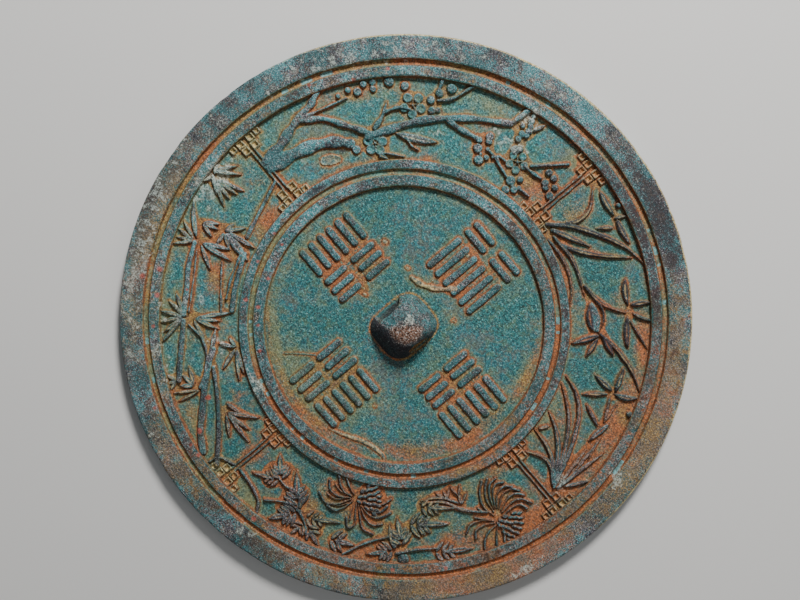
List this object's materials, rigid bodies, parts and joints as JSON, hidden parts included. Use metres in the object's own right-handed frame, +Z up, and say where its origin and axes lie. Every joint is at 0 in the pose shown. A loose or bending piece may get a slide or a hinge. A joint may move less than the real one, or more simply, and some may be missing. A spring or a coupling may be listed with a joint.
{
  "type": "ancient bronze mirror",
  "caption": "Ancient bronze mirror with a pierced knob, a band of plum, orchid, chrysanthemum and bamboo in relief, and a corroded green and rust patina.",
  "frame": {"origin": "middle of the polished underside", "axes": "+Z up through the knob, +X along the cord hole, +Y towards the divider between the plum and the orchid pictures"},
  "size_m": [0.21, 0.21, 0.013],
  "materials": {
    "patinated_bronze": "corroded green and rust patina over worn cast bronze"
  },
  "bodies": {
    "root": {"bronze_mirror": "patinated_bronze"}
  },
  "joints": []
}
